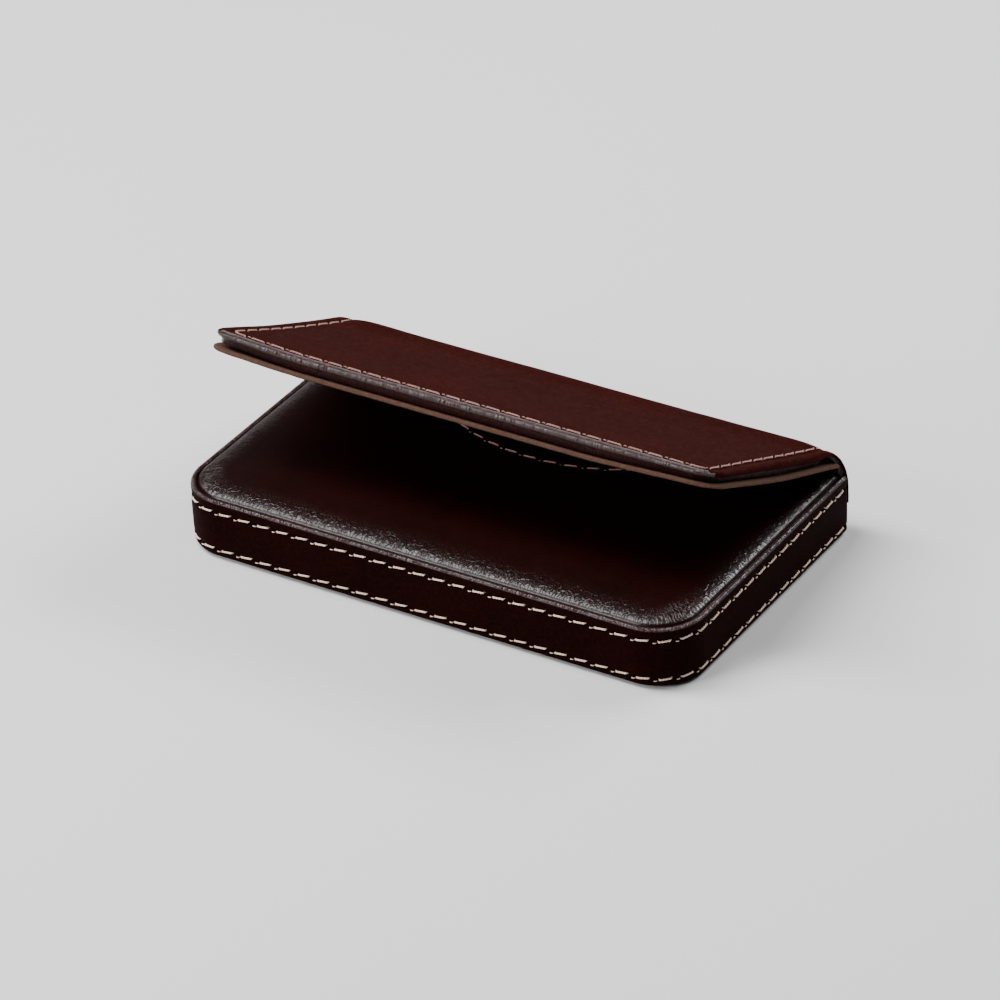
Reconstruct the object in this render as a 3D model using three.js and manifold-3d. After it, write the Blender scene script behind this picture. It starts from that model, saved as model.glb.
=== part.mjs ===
// Business card holder: a rigid leather-covered box for one stack of cards, with a soft spine and a flap
// that closes with magnets.
//
// Units are millimetres. +X runs along the long side, +Y from the front to the spine, +Z up.
// The origin is on the surface the case lies on, under the middle of its outline.
// The box is open at its spine side, where cards slide out. A half-moon notch in its deck lets a thumb push
// them. The outer leather is one sheet from the bottom, round the spine and over the flap. It moves at two
// fold lines, so it is three pieces here, with a thin round piece of leather at each fold.
import * as THREE from "three";
import { mergeVertices } from "three/addons/utils/BufferGeometryUtils.js";
import Module from "manifold-3d";

// ---------------------------------------------------------------- driving dimensions
const WIDTH = 100; // outside, side to side
const DEPTH = 59.4; // front wall to the outside of the spine
const FRONT_RADIUS = 9; // front corners, seen from above
const REAR_RADIUS = 1.5; // corners next to the spine
const GAP = 0.1; // between pieces that lie against each other

const BOTTOM_LEATHER = 0.9; // outer leather under the box
const BOTTOM_BOARD = 1.4; // greyboard floor
const LINING = 0.3; // lining of the card compartment
const COMPARTMENT_HEIGHT = 6.6;
const TOP_BOARD = 0.8;
const FOAM = 0.8;
const DECK_LEATHER = 0.8; // padded leather on top of the box
const BAND_LEATHER = 1.0; // leather strip round the three walls
const WALL = 2; // rigid frame inside the strip
const BAND_TOP = 10.25; // top edge of the leather strip
const BAND_BOTTOM = 0.2;
const BAND_ROUNDING = 0.3; // of the strip's and the deck leather's edges
const WELT_HEIGHT = 1.1; // rounded edging between strip and deck
const WELT_WIDTH = 0.9;
const WELT_ROUNDING = 0.4;
const GROOVE_WIDTH = 0.3; // between the edging and the padded deck

const NOTCH_HALF_WIDTH = 26; // half-moon thumb notch, at the spine side of the deck
const NOTCH_DEPTH = 19.2;
const NOTCH_SEAM_INSET = 2; // from the notch's edge to its stitches
const NOTCH_TURN = 0.6; // room for the leather turned in round the notch

const THREAD_WIDTH = 0.5;
const THREAD_SINK = 0.35; // how deep a thread sits in the leather
const CHANNEL_MARGIN = 0.08; // free space round a thread
const UPPER_SEAM_Z = 9.2 - THREAD_WIDTH / 2;
const LOWER_SEAM_Z = 1.8 - THREAD_WIDTH / 2;

const FOLD_LEATHER = 1.0; // outer leather of spine and flap
const FOLD_HALF_WIDTH = WIDTH / 2 - 0.4; // half the width of that leather
const FOLD_RADIUS = 0.4; // leather left round a fold line
const FOLD_CLEARANCE = 0.8; // from a fold line to the leather's straight part
const SPINE_LINING = 0.5;
const SPINE_LINING_SHORT = 2.4; // its upper end below the spine's, clear of the flap as it closes
const SPINE_SEAM_END = 0.2; // from the spine's ends to its stitches

const FLAP_THICKNESS = 3.8;
const FLAP_REST_GAP = 0.3; // between the closed flap and the deck
const FLAP_LENGTH = 49.7; // front edge to the upper fold line
const FLAP_RADIUS = 5; // its two front corners
const FLAP_OPEN = THREE.MathUtils.degToRad(22.8); // how far it is lifted as modelled
const FLAP_SHELL = 2.4; // turned edge of its outer leather
const FLAP_ROUNDING = 0.45;
const FLAP_RIM = 1.1; // width of that turned edge
const FLAP_BOARD = 1.1;
const FLAP_SOFT_LENGTH = 7; // unstiffened length next to the fold
const FLAP_SEAM_INSET = 2.8; // stitches from the flap's edges
const FLAP_LINING = 1.2;
const LINING_FROM_FOLD = 3;
const LINING_OVERHANG = 0.35; // how far it shows beyond the flap's outer leather

const MAGNET = { width: 24, depth: 6, height: 0.6 };
const MAGNET_FROM_FLAP_EDGE = 6;
const MAGNET_CLEARANCE = 0.2;

// ---------------------------------------------------------------- derived places
const FRONT_Y = -DEPTH / 2;
const SPINE_Y = DEPTH / 2; // outside of the spine
const BOX_REAR_Y = SPINE_Y - FOLD_LEATHER - 0.75; // the open end of the box
const FOLD_Y = SPINE_Y - FOLD_LEATHER / 2;
const LOWER_FOLD_Z = FOLD_LEATHER / 2;

const BOARD_Z = BOTTOM_LEATHER + GAP;
const FLOOR_Z = BOARD_Z + BOTTOM_BOARD + GAP;
const CEILING_Z = FLOOR_Z + LINING + COMPARTMENT_HEIGHT;
const TOP_BOARD_Z = CEILING_Z + LINING + GAP;
const FOAM_Z = TOP_BOARD_Z + TOP_BOARD + GAP;
const DECK_Z = FOAM_Z + FOAM + GAP;
const DECK_TOP = DECK_Z + DECK_LEATHER;
const FLAP_TOP_CLOSED = DECK_TOP + FLAP_REST_GAP + FLAP_THICKNESS;
const UPPER_FOLD_Z = FLAP_TOP_CLOSED - FOLD_LEATHER / 2;

const INSIDE_BAND = BAND_LEATHER + GAP;
const FRAME_INNER = INSIDE_BAND + WALL; // inset of the card compartment
const WELT_INSET = 0.1;
const DECK_INSET = WELT_INSET + WELT_WIDTH + GROOVE_WIDTH;
const CURVE_STEPS = 7; // straight pieces in each rounded corner

// ---------------------------------------------------------------- materials
const matte = (color, roughness) => new THREE.MeshStandardMaterial({ color, roughness, metalness: 0 });
const brownLeather = () => matte(0x3a1712, 0.42);
const deckLeather = () => matte(0x260b0a, 0.33);
const tanBacking = () => matte(0xa9805e, 0.9);
const greyboard = () => matte(0x8b8478, 0.95);
const foam = () => matte(0x2b2b2d, 1);
const liningCloth = () => matte(0x17191b, 0.8);
const frameWood = () => matte(0xb08c5e, 0.85);
const thread = () => matte(0xd9b08c, 0.7);
const magnetSteel = () => new THREE.MeshStandardMaterial({ color: 0x9a9a9c, roughness: 0.35, metalness: 1 });

// ---------------------------------------------------------------- solids
const wasm = await Module();
wasm.setup();

// A closed geometry as a solid that can be cut.
function solid(geometry) {
  const bare = geometry.clone();
  bare.deleteAttribute("normal");
  bare.deleteAttribute("uv");
  const merged = mergeVertices(bare, 1e-4);
  return new wasm.Manifold(
    new wasm.Mesh({
      numProp: 3,
      vertProperties: new Float32Array(merged.attributes.position.array),
      triVerts: new Uint32Array(merged.index.array),
    }),
  );
}

// The first geometry with each of the others cut out of it.
function cut(geometry, ...tools) {
  const left = tools.reduce((body, tool) => body.subtract(solid(tool)), solid(geometry));
  const mesh = left.getMesh();
  return new THREE.BufferGeometry()
    .setAttribute("position", new THREE.BufferAttribute(mesh.vertProperties, 3))
    .setIndex(new THREE.BufferAttribute(mesh.triVerts, 1));
}

// A flat outline as a slab from z to z + height, with its edges rounded by the given amount.
function slab(shape, z, height, rounding = 0) {
  return new THREE.ExtrudeGeometry(shape, {
    depth: height - 2 * rounding,
    bevelEnabled: rounding > 0,
    bevelThickness: rounding,
    bevelSize: rounding,
    bevelOffset: -rounding,
    bevelSegments: 2,
    curveSegments: CURVE_STEPS,
  }).translate(0, 0, z + rounding);
}

// A box between two corners.
function block([x0, y0, z0], [x1, y1, z1]) {
  return new THREE.BoxGeometry(x1 - x0, y1 - y0, z1 - z0).translate(
    (x0 + x1) / 2,
    (y0 + y1) / 2,
    (z0 + z1) / 2,
  );
}

function mesh(name, geometry, material) {
  const made = new THREE.Mesh(geometry, material);
  made.name = name;
  return made;
}

// ---------------------------------------------------------------- outlines
// A rectangle about x = 0 with rounded front and rear corners.
function plate(halfWidth, frontY, rearY, frontRadius, rearRadius = 0) {
  const s = new THREE.Shape();
  s.moveTo(-halfWidth + frontRadius, frontY);
  s.absarc(halfWidth - frontRadius, frontY + frontRadius, frontRadius, 1.5 * Math.PI, 2 * Math.PI);
  if (rearRadius > 0) {
    s.absarc(halfWidth - rearRadius, rearY - rearRadius, rearRadius, 0, 0.5 * Math.PI);
    s.absarc(-halfWidth + rearRadius, rearY - rearRadius, rearRadius, 0.5 * Math.PI, Math.PI);
  } else {
    s.lineTo(halfWidth, rearY);
    s.lineTo(-halfWidth, rearY);
  }
  s.absarc(-halfWidth + frontRadius, frontY + frontRadius, frontRadius, Math.PI, 1.5 * Math.PI);
  return s;
}

// The box's outline, moved inwards. Only its outside has rounded rear corners.
function boxOutline(inset) {
  const rearRadius = inset > 0 ? 0 : REAR_RADIUS;
  return plate(WIDTH / 2 - inset, FRONT_Y + inset, BOX_REAR_Y - inset, FRONT_RADIUS - inset, rearRadius);
}

// A layer of the deck: the box's outline moved inwards, open at the half-moon notch.
function deckOutline(inset, rearInset, notchGrowth = 0) {
  const x = WIDTH / 2 - inset;
  const y = FRONT_Y + inset;
  const r = FRONT_RADIUS - inset;
  const rear = BOX_REAR_Y - rearInset;
  const s = new THREE.Shape();
  s.moveTo(-x + r, y);
  s.absarc(x - r, y + r, r, 1.5 * Math.PI, 2 * Math.PI);
  s.lineTo(x, rear);
  const depth = NOTCH_DEPTH - rearInset + notchGrowth;
  s.absellipse(0, rear, NOTCH_HALF_WIDTH + notchGrowth, depth, 0, Math.PI, true);
  s.lineTo(-x, rear);
  s.absarc(-x + r, y + r, r, Math.PI, 1.5 * Math.PI);
  return s;
}

// The strip between two insets of a plate that is open at the rear: left side, front and right side.
function openRing(halfWidth, frontY, rearY, radius, outer, inner) {
  const s = new THREE.Shape();
  const a = { x: halfWidth - outer, y: frontY + outer, r: radius - outer };
  const b = { x: halfWidth - inner, y: frontY + inner, r: Math.max(radius - inner, 0.3) };
  s.moveTo(a.x, rearY);
  s.lineTo(b.x, rearY);
  s.absarc(b.x - b.r, b.y + b.r, b.r, 2 * Math.PI, 1.5 * Math.PI, true);
  s.absarc(-b.x + b.r, b.y + b.r, b.r, 1.5 * Math.PI, Math.PI, true);
  s.lineTo(-b.x, rearY);
  s.lineTo(-a.x, rearY);
  s.absarc(-a.x + a.r, a.y + a.r, a.r, Math.PI, 1.5 * Math.PI);
  s.absarc(a.x - a.r, a.y + a.r, a.r, 1.5 * Math.PI, 2 * Math.PI);
  return s;
}

// The band between two ellipses beside the notch, from rear edge to rear edge.
function notchRing(near, far) {
  const s = new THREE.Shape();
  const rear = BOX_REAR_Y - REAR_RADIUS;
  const depth = NOTCH_DEPTH - REAR_RADIUS;
  s.absellipse(0, rear, NOTCH_HALF_WIDTH + far, depth + far, Math.PI, 2 * Math.PI);
  s.absellipse(0, rear, NOTCH_HALF_WIDTH + near, depth + near, 2 * Math.PI, Math.PI, true);
  return s;
}

// ---------------------------------------------------------------- box
// A stitch line round the walls at height z, and the channel it lies in.
function wallThread(z) {
  const rear = BOX_REAR_Y - REAR_RADIUS - CHANNEL_MARGIN;
  return slab(openRing(WIDTH / 2, FRONT_Y, rear, FRONT_RADIUS, 0, THREAD_SINK), z, THREAD_WIDTH);
}

function wallChannel(z) {
  const ring = openRing(
    WIDTH / 2,
    FRONT_Y,
    BOX_REAR_Y - REAR_RADIUS,
    FRONT_RADIUS,
    -1,
    THREAD_SINK + CHANNEL_MARGIN,
  );
  return slab(ring, z - CHANNEL_MARGIN, THREAD_WIDTH + 2 * CHANNEL_MARGIN);
}

// Opening at the spine side, up to the given inset from the outside of the two side walls.
function rearOpening(inset, z0, z1) {
  const x = WIDTH / 2 - inset;
  return block([-x, 0, z0], [x, SPINE_Y, z1]);
}

function sideBand() {
  return cut(
    slab(boxOutline(0), BAND_BOTTOM, BAND_TOP - BAND_BOTTOM, BAND_ROUNDING),
    slab(boxOutline(BAND_LEATHER), 0, BAND_TOP + 1),
    rearOpening(FRAME_INNER, 0, BAND_TOP + 1),
    rearOpening(BAND_LEATHER, 0, FLOOR_Z - GAP),
    wallChannel(UPPER_SEAM_Z),
    wallChannel(LOWER_SEAM_Z),
  );
}

function sideFrame() {
  const height = CEILING_Z - GAP - FLOOR_Z;
  const compartment = plate(
    WIDTH / 2 - FRAME_INNER,
    FRONT_Y + FRAME_INNER,
    SPINE_Y,
    FRONT_RADIUS - FRAME_INNER,
  );
  return cut(slab(boxOutline(INSIDE_BAND), FLOOR_Z, height), slab(compartment, 0, BAND_TOP));
}

function floorLining() {
  const inset = FRAME_INNER + GAP;
  return slab(
    plate(WIDTH / 2 - inset, FRONT_Y + inset, BOX_REAR_Y - GAP, FRONT_RADIUS - inset),
    FLOOR_Z,
    LINING,
  );
}

function topWelt() {
  const inner = WELT_INSET + WELT_WIDTH;
  const ring = openRing(WIDTH / 2, FRONT_Y, BOX_REAR_Y, FRONT_RADIUS, WELT_INSET, inner);
  return slab(ring, BAND_TOP + GAP, WELT_HEIGHT, WELT_ROUNDING);
}

// Centre of a magnet in the frame where the flap is closed.
const MAGNET_Y = FOLD_Y - FLAP_LENGTH + MAGNET_FROM_FLAP_EDGE + MAGNET.depth / 2;

function magnetBlock(grow, y, z, height) {
  const x = MAGNET.width / 2 + grow;
  const half = MAGNET.depth / 2 + grow;
  return block([-x, y - half, z], [x, y + half, z + height]);
}

function topBoard() {
  return cut(
    slab(deckOutline(INSIDE_BAND, INSIDE_BAND), TOP_BOARD_Z, TOP_BOARD),
    magnetBlock(MAGNET_CLEARANCE, MAGNET_Y, TOP_BOARD_Z - 1, TOP_BOARD + 2),
  );
}

function topFoam() {
  return slab(deckOutline(DECK_INSET + BAND_ROUNDING, INSIDE_BAND, NOTCH_TURN), FOAM_Z, FOAM);
}

function deckTop() {
  const seam = [NOTCH_SEAM_INSET - CHANNEL_MARGIN, NOTCH_SEAM_INSET + THREAD_WIDTH + CHANNEL_MARGIN];
  return cut(
    slab(deckOutline(DECK_INSET, GAP), DECK_Z, DECK_LEATHER, BAND_ROUNDING),
    slab(notchRing(...seam), DECK_TOP - THREAD_SINK - CHANNEL_MARGIN, 1),
  );
}

function notchThread() {
  const ring = notchRing(NOTCH_SEAM_INSET, NOTCH_SEAM_INSET + THREAD_WIDTH);
  return slab(ring, DECK_TOP - THREAD_SINK, THREAD_SINK);
}

// A round strip of leather along a fold line.
function foldStrip() {
  return new THREE.CylinderGeometry(FOLD_RADIUS, FOLD_RADIUS, 2 * FOLD_HALF_WIDTH, 12).rotateZ(Math.PI / 2);
}

function bottomCover() {
  const inset = INSIDE_BAND;
  const outline = plate(WIDTH / 2 - inset, FRONT_Y + inset, FOLD_Y - FOLD_CLEARANCE, FRONT_RADIUS - inset);
  return slab(outline, 0, BOTTOM_LEATHER);
}

function boxGroup() {
  const box = new THREE.Group();
  box.add(
    mesh("bottom_cover", bottomCover(), brownLeather()),
    mesh("bottom_board", slab(boxOutline(INSIDE_BAND), BOARD_Z, BOTTOM_BOARD), greyboard()),
    mesh("floor_lining", floorLining(), liningCloth()),
    mesh("side_frame", sideFrame(), frameWood()),
    mesh("side_band", sideBand(), brownLeather()),
    mesh("upper_wall_stitching", wallThread(UPPER_SEAM_Z), thread()),
    mesh("lower_wall_stitching", wallThread(LOWER_SEAM_Z), thread()),
    mesh("ceiling_lining", slab(deckOutline(INSIDE_BAND, INSIDE_BAND), CEILING_Z, LINING), liningCloth()),
    mesh("top_board", topBoard(), greyboard()),
    mesh("box_magnet", magnetBlock(0, MAGNET_Y, TOP_BOARD_Z + GAP, MAGNET.height), magnetSteel()),
    mesh("top_foam", topFoam(), foam()),
    mesh("deck_leather", deckTop(), deckLeather()),
    mesh("notch_stitching", notchThread(), thread()),
    mesh("top_welt", topWelt(), brownLeather()),
  );
  const fold = mesh("lower_fold", foldStrip(), brownLeather());
  fold.position.set(0, FOLD_Y, LOWER_FOLD_Z);
  box.add(fold);
  return box;
}

// ---------------------------------------------------------------- spine
// It stands on the lower fold line and carries the upper one.
function spineGroup() {
  const spine = new THREE.Group();
  const x = FOLD_HALF_WIDTH;
  const z0 = LOWER_FOLD_Z + FOLD_CLEARANCE;
  const z1 = UPPER_FOLD_Z - FOLD_CLEARANCE;
  const leather = block([-x, SPINE_Y - FOLD_LEATHER, z0], [x, SPINE_Y, z1]);
  const inner = SPINE_Y - FOLD_LEATHER - GAP;
  const lining = block([1 - x, inner - SPINE_LINING, z0 + 0.5], [x - 1, inner, z1 - SPINE_LINING_SHORT]);
  const seams = [];
  for (const side of [-1, 1]) {
    const low = side * (x - FLAP_SEAM_INSET - THREAD_WIDTH / 2) - THREAD_WIDTH / 2;
    const high = low + THREAD_WIDTH;
    const [bottom, top] = [z0 + SPINE_SEAM_END, z1 - SPINE_SEAM_END];
    const seam = (grow, sink) =>
      block([low - grow, SPINE_Y - sink, bottom - grow], [high + grow, SPINE_Y + grow, top + grow]);
    seams.push({
      name: side < 0 ? "left" : "right",
      thread: seam(0, THREAD_SINK),
      channel: seam(GAP, THREAD_SINK + GAP),
    });
  }
  spine.add(
    mesh("spine_leather", cut(leather, ...seams.map((s) => s.channel)), brownLeather()),
    mesh("spine_lining", lining, deckLeather()),
    ...seams.map((s) => mesh(`spine_stitching_${s.name}`, s.thread, thread())),
  );
  return spine;
}

// ---------------------------------------------------------------- flap
// Drawn closed, with y and z measured from the upper fold line, then lifted about it.
const FLAP = {
  halfWidth: FOLD_HALF_WIDTH,
  front: -FLAP_LENGTH,
  top: FOLD_LEATHER / 2,
  shellBottom: FOLD_LEATHER / 2 - FLAP_SHELL,
  magnetY: MAGNET_Y - FOLD_Y,
};

// A ring along the flap's front and sides, at its stitches, widened and lengthened by the given margin.
function flapSeam(margin, z, height) {
  const { halfWidth, front } = FLAP;
  const outer = FLAP_SEAM_INSET - margin;
  const inner = FLAP_SEAM_INSET + THREAD_WIDTH + margin;
  const rear = -FOLD_CLEARANCE - 1 + margin;
  return slab(openRing(halfWidth, front, rear, FLAP_RADIUS, outer, inner), z, height);
}

// Outer leather with its edges turned down round the board.
function flapCover() {
  const { halfWidth, front, top, shellBottom } = FLAP;
  const pocketTop = shellBottom + FLAP_BOARD + 2 * GAP;
  return cut(
    slab(plate(halfWidth, front, -FOLD_CLEARANCE, FLAP_RADIUS), shellBottom, FLAP_SHELL, FLAP_ROUNDING),
    slab(
      plate(halfWidth - FLAP_RIM, front + FLAP_RIM, -FLAP_SOFT_LENGTH, FLAP_RADIUS - FLAP_RIM),
      shellBottom - 1,
      pocketTop - shellBottom + 1,
    ),
    block([-WIDTH, -FLAP_SOFT_LENGTH, shellBottom - 1], [WIDTH, 1, top - FOLD_LEATHER]),
    flapSeam(CHANNEL_MARGIN, top - THREAD_SINK - CHANNEL_MARGIN, 1),
  );
}

function flapBoard() {
  const { halfWidth, front, shellBottom, magnetY } = FLAP;
  const inset = FLAP_RIM + GAP;
  const z = shellBottom + GAP;
  const outline = plate(halfWidth - inset, front + inset, -FLAP_SOFT_LENGTH - GAP, FLAP_RADIUS - inset);
  return cut(
    slab(outline, z, FLAP_BOARD),
    magnetBlock(MAGNET_CLEARANCE, magnetY, z - 1, FLAP_BOARD + 2),
  );
}

function flapGroup() {
  const { halfWidth, front, top, shellBottom, magnetY } = FLAP;
  const flap = new THREE.Group();
  const liningTop = shellBottom - GAP;
  const overhang = LINING_OVERHANG;
  const lining = plate(halfWidth + overhang, front - overhang / 2, -LINING_FROM_FOLD, FLAP_RADIUS);
  const seam = flapSeam(0, top - THREAD_SINK, THREAD_SINK);
  flap.add(
    mesh("flap_cover", flapCover(), brownLeather()),
    mesh("flap_board", flapBoard(), greyboard()),
    mesh("flap_magnet", magnetBlock(0, magnetY, shellBottom + GAP, MAGNET.height), magnetSteel()),
    mesh("flap_lining", slab(lining, liningTop - FLAP_LINING, FLAP_LINING), tanBacking()),
    mesh("flap_stitching", seam, thread()),
    mesh("upper_fold", foldStrip(), brownLeather()),
  );
  flap.position.set(0, FOLD_Y, UPPER_FOLD_Z);
  flap.rotation.x = -FLAP_OPEN;
  return flap;
}

const cardHolder = new THREE.Group();
cardHolder.add(boxGroup(), spineGroup(), flapGroup());

export default cardHolder;
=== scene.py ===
"""Business card holder in leather: box, soft spine and flap, with stitched seams.

Lengths in this script are millimetres in the part's own frame, and MM turns them into metres for the meshes.
The box lies on z = 0 with its front towards -y. The spine is at +y, with the flap on its upper edge.
"""

import math

import bmesh
import bpy
import numpy as np
from mathutils import Matrix, Vector


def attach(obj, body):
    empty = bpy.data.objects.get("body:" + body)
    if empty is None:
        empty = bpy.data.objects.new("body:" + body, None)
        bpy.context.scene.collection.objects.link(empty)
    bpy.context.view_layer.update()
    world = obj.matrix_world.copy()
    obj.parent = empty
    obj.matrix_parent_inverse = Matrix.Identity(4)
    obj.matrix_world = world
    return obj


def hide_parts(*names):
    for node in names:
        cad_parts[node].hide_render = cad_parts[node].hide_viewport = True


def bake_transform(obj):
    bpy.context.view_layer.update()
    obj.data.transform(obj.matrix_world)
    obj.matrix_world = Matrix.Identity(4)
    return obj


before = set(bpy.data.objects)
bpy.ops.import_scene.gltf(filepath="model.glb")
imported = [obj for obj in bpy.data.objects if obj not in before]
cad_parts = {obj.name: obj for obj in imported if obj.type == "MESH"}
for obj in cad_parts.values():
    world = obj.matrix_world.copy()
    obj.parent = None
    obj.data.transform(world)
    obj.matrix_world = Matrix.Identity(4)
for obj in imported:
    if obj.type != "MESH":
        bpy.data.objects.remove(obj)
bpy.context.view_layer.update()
MM = 0.001

# ------------------------------------------------------------------ the part's own dimensions
HALF = 50.0  # half the width of the box
FRONT = -29.7  # front face
REAR = 27.95  # open end of the box
CORNER = 9.0  # front corners of the box
GROOVE = 1.2  # from the box's side to the groove round the deck
GROOVE_Z = 11.25
PAD_PROFILE = [  # distance in from the groove, height above it
    (0, -0.3), (0.08, -0.06), (0.18, 0.12), (0.32, 0.28), (0.5, 0.41), (1.0, 0.64), (1.5, 0.80), (2.2, 0.97),
    (3.0, 1.10), (4.0, 1.21), (5.0, 1.28), (6.5, 1.34), (8.5, 1.38), (12, 1.41), (20, 1.44), (80, 1.45),
]
DECK_TOP = GROOVE_Z + 1.41
DECK_REAR = 27.85
DECK_UNDERSIDE = 8.36  # lower edge of the leather turned in round the notch and along the rear
NOTCH_HALF = 26.0  # the notch is half an ellipse
NOTCH_DEEP = 19.1
NOTCH_SEAM_INSET = 2.25  # middle of the notch's stitches from its edge
FOLD = np.array([29.2, 16.0])  # y and z of the upper fold line
OPEN = math.radians(22.8)
FLAP_LENGTH = 49.7  # from the front edge to the upper fold line
FLAP_HALF = 49.6
FLAP_CORNER = 5.0
SPINE_Y = 29.7
LOWER_BEND = 3.2  # outer radius of the leather's bend from spine to bottom
LOWER_HALF = 49.0  # half the width of the leather below the middle of the spine
STITCH_PITCH = 3.9
STITCH_LENGTH = 2.55
FLAP_STITCH_LENGTH = 3.15
CORNER_LIFT = 0.6  # the flap's left front corner is bent up a little
SEAM_INSET = 3.05  # middle of the flap's stitches from its edge
UPPER_SEAM_Z = 9.2
LOWER_SEAM_Z = 1.8


# ------------------------------------------------------------------ small numeric helpers
def smooth(t):
    """Ease from 0 to 1 as t goes from 0 to 1, and hold beyond."""
    t = np.clip(t, 0, 1)
    return t * t * (3 - 2 * t)


def hash_noise(*keys):
    """A repeatable number from 0 to 1 for each set of whole numbers."""
    h = np.zeros(np.broadcast(*keys).shape, np.uint64) + np.uint64(374761393)
    for k, m in zip(keys, (668265263, 2246822519, 3266489917)):
        h = (h ^ (np.asarray(k).astype(np.int64).astype(np.uint64) * np.uint64(m))) & np.uint64(0xFFFFFFFF)
        h = (h * np.uint64(1274126177)) & np.uint64(0xFFFFFFFF)
        h ^= h >> np.uint64(15)
    return (h & np.uint64(0xFFFFFF)).astype(float) / 0xFFFFFF


def value_noise(x, y, seed=0):
    """Smooth noise from -1 to 1 at points x, y, with features about 1 wide."""
    x, y = np.asarray(x, float), np.asarray(y, float)
    i, j = np.floor(x), np.floor(y)
    u, v = smooth(x - i), smooth(y - j)
    s = np.full(x.shape, seed)
    a, b = hash_noise(i, j, s), hash_noise(i + 1, j, s)
    c, d = hash_noise(i, j + 1, s), hash_noise(i + 1, j + 1, s)
    return 2 * ((a * (1 - u) + b * u) * (1 - v) + (c * (1 - u) + d * u) * v) - 1


def spaced(a, b, step):
    """Evenly spaced numbers from a to b, about step apart."""
    return np.linspace(a, b, max(2, int(round(abs(b - a) / step)) + 1))


def distances(points):
    """The distance of each point along the line through them."""
    return np.concatenate([[0], np.cumsum(np.linalg.norm(np.diff(points, axis=0), axis=1))])


# ------------------------------------------------------------------ mesh helpers
def add_mesh(name, verts, faces, materials, body=None, attributes=None, material_of=None):
    """A smooth mesh that rides on the body, if one is given. attributes are vectors for each point, and
    material_of is each face's material."""
    mesh = bpy.data.meshes.new(name)
    mesh.from_pydata([tuple(v) for v in np.asarray(verts, float) * MM], [], [tuple(f) for f in faces])
    for m in materials if isinstance(materials, (list, tuple)) else [materials]:
        mesh.materials.append(m)
    if material_of is not None:
        mesh.polygons.foreach_set("material_index", np.asarray(material_of, np.int32))
    for key, values in (attributes or {}).items():
        layer = mesh.attributes.new(key, "FLOAT_VECTOR", "POINT")
        layer.data.foreach_set("vector", np.asarray(values, np.float32).ravel())
    mesh.validate()
    mesh.polygons.foreach_set("use_smooth", np.ones(len(mesh.polygons), bool))
    mesh.update()
    obj = bpy.data.objects.new(name, mesh)
    bpy.context.scene.collection.objects.link(obj)
    if body:
        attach(obj, body)
    return obj


def grid_faces(rows, cols, first=0, close_cols=False, flip=False):
    """Quads over a grid of points stored row by row."""
    r = np.arange(rows - 1)
    c = np.arange(cols if close_cols else cols - 1)
    rr, cc = np.meshgrid(r, c, indexing="ij")
    r2, c2 = rr + 1, (cc + 1) % cols
    quads = np.stack([rr * cols + cc, rr * cols + c2, r2 * cols + c2, r2 * cols + cc], -1).reshape(-1, 4)
    return (quads[:, ::-1] if flip else quads) + first


def walk_border(rows, cols):
    """Row and column of each point round the border of a grid."""
    return (
        [(0, c) for c in range(cols)]
        + [(r, cols - 1) for r in range(1, rows)]
        + [(rows - 1, c) for c in range(cols - 2, -1, -1)]
        + [(r, 0) for r in range(rows - 2, 0, -1)]
    )


def weld_and_face_out(obj):
    """Join points that coincide and turn every face's normal outwards."""
    bm = bmesh.new()
    bm.from_mesh(obj.data)
    bmesh.ops.remove_doubles(bm, verts=bm.verts, dist=2e-6)
    bmesh.ops.recalc_face_normals(bm, faces=bm.faces)
    bm.to_mesh(obj.data)
    bm.free()
    obj.data.update()


# ------------------------------------------------------------------ outlines
def u_path(half, front, rear, radius, step=0.4, arc_step=0.35, end_fine=0.0):
    """Left side, front and right side of a plate with two rounded front corners.
    Returns points, outward normals and the distance along them."""
    sides = front + radius
    ys = spaced(rear, sides, step)
    if end_fine:
        near = rear - np.array([0, 0.12, 0.3, 0.55, 0.9, 1.3, 1.8])
        ys = np.concatenate([near, ys[ys < near[-1] - 0.2]])
    n_arc = max(4, int(radius * math.pi / 2 / arc_step))

    def corner(centre_x, start):
        turn = [(math.cos(t), math.sin(t)) for t in np.linspace(start, start + math.pi / 2, n_arc + 1)[1:]]
        return [((centre_x + radius * c, sides + radius * s), (c, s)) for c, s in turn]

    left = [((-half, y), (-1, 0)) for y in ys]
    middle = [((x, front), (0, -1)) for x in spaced(-half + radius, half - radius, step)[1:]]
    right = [((half, y), (1, 0)) for y in ys[::-1][1:]]
    points = left + corner(-half + radius, math.pi) + middle + corner(half - radius, 1.5 * math.pi) + right
    p = np.array([q[0] for q in points])
    n = np.array([q[1] for q in points])
    return p, n, distances(p)


def sweep(path, normals, profile):
    """Points of a profile of (outward, z) pairs carried along a flat path."""
    profile = np.asarray(profile, float)
    xy = path[:, None, :] + normals[:, None, :] * profile[None, :, :1]
    z = np.broadcast_to(profile[None, :, 1:], xy.shape[:2] + (1,))
    return np.concatenate([xy, z], -1)


def smooth_curve(points, step=0.12):
    """A round curve through the points, sampled about step apart."""
    p = np.asarray(points, float)
    ends = np.vstack([2 * p[0] - p[1], p, 2 * p[-1] - p[-2]])
    out = []
    for i in range(1, len(ends) - 2):
        a, b, c, d = ends[i - 1 : i + 3]
        n = max(2, int(np.linalg.norm(c - b) / step))
        t = np.linspace(0, 1, n, endpoint=False)[:, None]
        square, cube = 2 * a - 5 * b + 4 * c - d, 3 * b - a - 3 * c + d
        out.append(0.5 * (2 * b + (c - a) * t + square * t**2 + cube * t**3))
    return np.vstack(out + [p[-1:]])


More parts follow.
